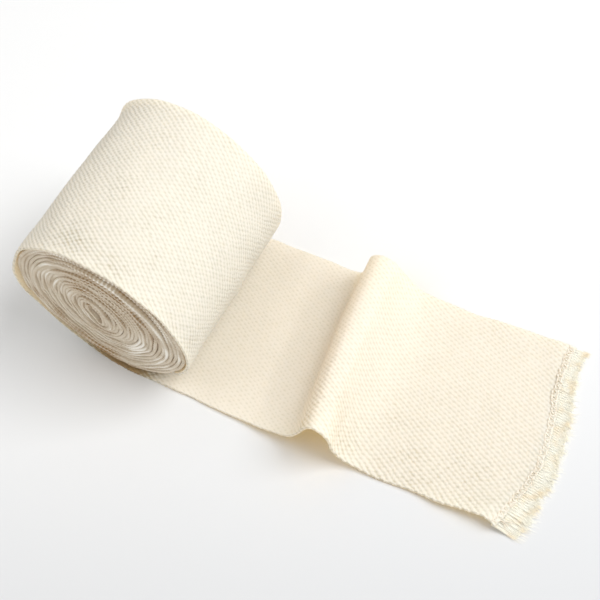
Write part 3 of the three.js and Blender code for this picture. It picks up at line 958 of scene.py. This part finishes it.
def loose_cotton(name, pale, dark, patch_mm, let_through):
    """Spun cotton thread: matt, with paler and darker patches along it, patch_mm across, and light coming
    through it."""
    material, tree = new_material(name)
    place = add_node(tree, "ShaderNodeTexCoord")["Object"]
    scale = 1 / (patch_mm * MM)
    fibre = add_node(tree, "ShaderNodeTexNoise", {"Vector": place, "Scale": scale, "Detail": 3.0})["Fac"]
    limits = ((fibre, 0.40, 0.72, 0.0, 1.0),)
    (darker,) = add_each(tree, "ShaderNodeMapRange", limits, interpolation_type="SMOOTHSTEP")
    cotton(tree, pale, ((darker, dark),), fibre, (0.3, 0.1), 0.9, (0.15, 0.5), let_through)
    return material


# ---- the studio ----

VIEW_HEADING = math.radians(48.04)
VIEW_RAISED = math.radians(55.27)
VIEW_ROLLED = math.radians(-20)
VIEW_CENTRE = (46.09, 55.22)  # on the strip's axes
VIEW_DISTANCE = 0.5326
VIEW_LENS = 81.95

# Square soft boxes aimed at the middle of the bandage: name, heading and height in degrees, distance and
# size in metres, watts.
LAMPS = (("window_light", 23, 48, 1.5, 0.9, 20.8), ("fill_light", 200, 55, 1.2, 1.2, 4.0))
LAMP_COLOUR = (0.982, 0.992, 1.0)
LIT_FROM = Vector((0.0, 0.0, 0.02))
WORLD_COLOUR = (1.0, 0.988, 0.962, 1.0)
WORLD_STRENGTH = 0.49


def make_camera():
    flat = math.cos(VIEW_RAISED)
    forward = (-math.sin(VIEW_HEADING) * flat, math.cos(VIEW_HEADING) * flat, -math.sin(VIEW_RAISED))
    forward = Vector(forward)
    level = Vector((math.cos(VIEW_HEADING), math.sin(VIEW_HEADING), 0.0))
    upright = level.cross(forward)
    right = math.cos(VIEW_ROLLED) * level + math.sin(VIEW_ROLLED) * upright
    up = right.cross(forward)
    target = Vector((TOUCH_DOWN_X + VIEW_CENTRE[0], NEAR_SELVEDGE_Y + VIEW_CENTRE[1], 0.0)) * MM
    camera = bpy.data.objects.new("camera", bpy.data.cameras.new("camera"))
    camera.data.lens = VIEW_LENS
    camera.data.sensor_width = 36.0
    camera.data.clip_start = 0.05
    camera.data.clip_end = 20.0
    turn = Matrix((right, up, -forward)).transposed()
    camera.matrix_world = Matrix.Translation(target - forward * VIEW_DISTANCE) @ turn.to_4x4()
    bpy.context.scene.collection.objects.link(camera)
    bpy.context.scene.camera = camera


def make_lamps():
    for name, heading, raised, distance, size, watts in LAMPS:
        heading, raised = math.radians(heading), math.radians(raised)
        flat = math.cos(raised)
        away = Vector((math.cos(heading) * flat, math.sin(heading) * flat, math.sin(raised)))
        lamp = bpy.data.lights.new(name, "AREA")
        lamp.shape = "SQUARE"
        lamp.size = size
        lamp.energy = watts
        lamp.color = LAMP_COLOUR
        holder = bpy.data.objects.new(name, lamp)
        holder.location = LIT_FROM + away * distance
        holder.rotation_euler = away.to_track_quat("Z", "Y").to_euler()
        bpy.context.scene.collection.objects.link(holder)


def seen_directly(tree):
    """1 for what the camera sees, itself or in something shiny or clear, 0 for what only gives light."""
    path = add_node(tree, "ShaderNodeLightPath")
    seen = path["Is Camera Ray"]
    for ray in ("Is Glossy Ray", "Is Transmission Ray"):
        seen = add_node(tree, "ShaderNodeMath", {0: seen, 1: path[ray]}, operation="MAXIMUM")[0]
    return seen


def make_world():
    """Plain soft light all round, and white where it is seen."""
    world = bpy.data.worlds.new("studio")
    world.use_nodes = True
    tree = world.node_tree
    tree.nodes.clear()
    feeds = {0: seen_directly(tree), 1: 1 - WORLD_STRENGTH, 2: WORLD_STRENGTH}
    strength = add_node(tree, "ShaderNodeMath", feeds, operation="MULTIPLY_ADD")[0]
    light = add_node(tree, "ShaderNodeBackground", {"Strength": strength, "Color": WORLD_COLOUR})[0]
    add_node(tree, "ShaderNodeOutputWorld", {"Surface": light})
    bpy.context.scene.world = world


def make_floor():
    """A matt white table top, its colour greyer in front and paler to the back and left, painted light
    falling off across it; what it lights sees it as evenly white.
    """
    material, tree = new_material("matt white table top")
    place = add_node(tree, "ShaderNodeTexCoord")["Object"]
    x, y, _ = add_node(tree, "ShaderNodeSeparateXYZ", {0: place})
    # Painted light: paler towards the back and the left.
    back = add_node(tree, "ShaderNodeMath", {0: x, 1: -0.7, 2: y}, operation="MULTIPLY_ADD")[0]
    limits = ((back, -0.25, 0.14, 0.0, 1.0),)
    (painted_light_share,) = add_each(tree, "ShaderNodeMapRange", limits, interpolation_type="SMOOTHSTEP")
    feeds = {0: painted_light_share, 6: linear_colour(0xCBCCCE), 7: linear_colour(0xEDEDED)}
    shade = add_node(tree, "ShaderNodeMix", feeds, data_type="RGBA")[2]
    even = add_node(tree, "ShaderNodeBsdfDiffuse", {"Color": (0.88, 0.88, 0.88, 1.0)})[0]
    white = add_node(tree, "ShaderNodeBsdfDiffuse", {"Color": shade})[0]
    both = add_node(tree, "ShaderNodeMixShader", {0: seen_directly(tree), 1: even, 2: white})[0]
    add_node(tree, "ShaderNodeOutputMaterial", {"Surface": both})
    bm = bmesh.new()
    bmesh.ops.create_grid(bm, x_segments=1, y_segments=1, size=3.0)
    mesh = bpy.data.meshes.new("table_top")
    bm.to_mesh(mesh)
    bm.free()
    finished_piece("table_top", mesh, material)


bpy.context.scene.view_settings.view_transform = "Standard"
make_camera()
make_world()
make_floor()
make_lamps()

# The cloth's outer and upper face: a pale, matt cream, with a dull green-grey painted shade in its hollows.
crepe = cotton_crepe("unbleached cotton crepe, woven", 0xF8F7EC, 0xFDFDF7, 0.34, 0xFFEFD0, 0.32)
# The loose end's underside, seen under the fold and the lifted corner: lit mostly from behind through the
# cloth, and more golden than the upper face, a colour that paints the warm shade there.
crepe_inside = cotton_crepe(
    "unbleached cotton crepe, its inner side", 0xF6EAC8, 0xFCF2D8, 0.15, 0xFFEEC0, 0.85
)
# The outer turn's inner side, seen at its slack near edge: the same, light through it and a colour painting
# its shade, but greyer.
crepe_wound_inside = cotton_crepe(
    "unbleached cotton crepe, inner side of the outer turn", 0xF6EEDC, 0xFBF5E8, 0.15, 0xFFF4E2, 0.55
)
# The roll's near and far faces: rings of pale loops with painted brown shade between them, and painted
# highlights where turns stand proud.
selvedges = selvedge_crepe("unbleached cotton crepe, selvedges of the wound turns")
# The fringe: soft, near white yarn ends that light shines through.
frayed = loose_cotton("frayed cotton warp, soft spun", 0xFFFEF9, 0xFEF9EE, 3.846, 0.65)
# The stitches: a denser thread, with small darker flecks from one ply to the next.
thread = loose_cotton("white overlock thread, spun", 0xFFFAF0, 0xE9DCC6, 0.7143, 0.3)

loose_end, loose_length = make_loose_end(crepe, crepe_inside)
outer_turn, girth = make_outer_turn(crepe, crepe_wound_inside)
inner_turns, wound_length = make_inner_turns(selvedges)
fringe = make_fringe(frayed)
overlock = make_overlock(thread)

for piece in (loose_end, outer_turn, inner_turns, fringe, overlock):
    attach(piece, "root")
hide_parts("loose_end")
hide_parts("roll")
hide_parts("roll")
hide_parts("frayed_end")
